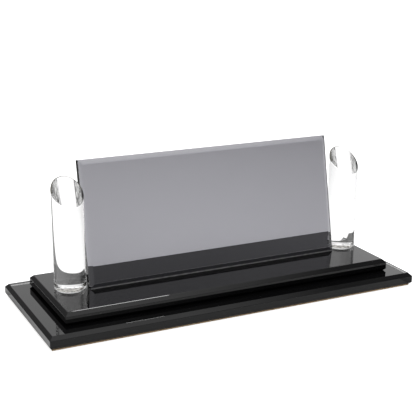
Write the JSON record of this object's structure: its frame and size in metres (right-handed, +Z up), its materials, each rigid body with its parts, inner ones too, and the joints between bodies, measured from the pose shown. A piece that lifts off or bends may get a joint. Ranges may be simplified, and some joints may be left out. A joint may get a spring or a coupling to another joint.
{
  "type": "desk name plate",
  "caption": "Desk name plate: a smoked glass panel leans back between slant-cut crystal posts on a stepped base of black-backed bevelled glass.",
  "frame": {"origin": "middle of the underside, on the desk", "axes": "+X along the length to the right seen from the front, -Y to the front, +Z up"},
  "size_m": [0.255, 0.098, 0.0959],
  "materials": {
    "cork": "matte cork sheet",
    "black_film": "black, glossy through the glass",
    "base_glass": "polished clear float glass",
    "clear_glue": "clear, faintly grainy",
    "smoked_glass": "polished smoked grey glass",
    "crystal": "polished clear crystal"
  },
  "bodies": {
    "root": {"base_pad": "cork", "lower_backing": "black_film", "upper_backing": "black_film", "lower_base_plate": "base_glass", "upper_base_plate": "base_glass", "base_bond": "clear_glue", "plate_bond": "clear_glue", "left_post_bond": "clear_glue", "right_post_bond": "clear_glue", "name_plate": "smoked_glass", "left_post": "crystal", "right_post": "crystal"}
  },
  "joints": []
}
